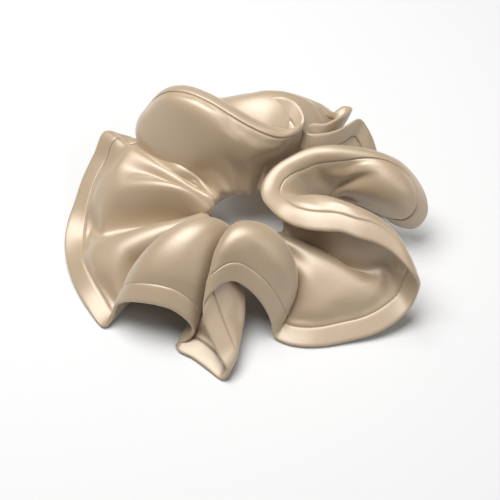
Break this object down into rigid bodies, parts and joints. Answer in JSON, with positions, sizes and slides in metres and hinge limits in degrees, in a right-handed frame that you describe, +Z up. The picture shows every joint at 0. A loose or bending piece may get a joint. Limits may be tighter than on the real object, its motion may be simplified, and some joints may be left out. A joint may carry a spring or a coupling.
{
  "type": "scrunchie",
  "caption": "Ruffled satin ring with a flat bound outer edge, gathered on a hidden flat elastic, to hold a ponytail or a bun.",
  "frame": {"origin": "under the middle of the scrunchie's outline, on the surface that it lies on", "axes": "+Z up along the hole, +X along the widest way across, from the fan-shaped ruffle to the looped ones, +Y towards the rolled fold at the back"},
  "size_m": [0.12, 0.102, 0.0411],
  "materials": {
    "satin": "heavy satin with a soft sheen, champagne",
    "thread": "matt polyester sewing thread, matched to the satin",
    "elastic": "woven cream elastic, matt"
  },
  "bodies": {
    "root": {"satin_cover": "satin", "edge_band": "satin", "band_needle_thread": "thread", "band_bobbin_thread": "thread", "elastic_band": "elastic", "elastic_join_stitches": "thread", "cover_end_seam_thread": "thread", "band_end_seam_thread": "thread"}
  },
  "joints": []
}
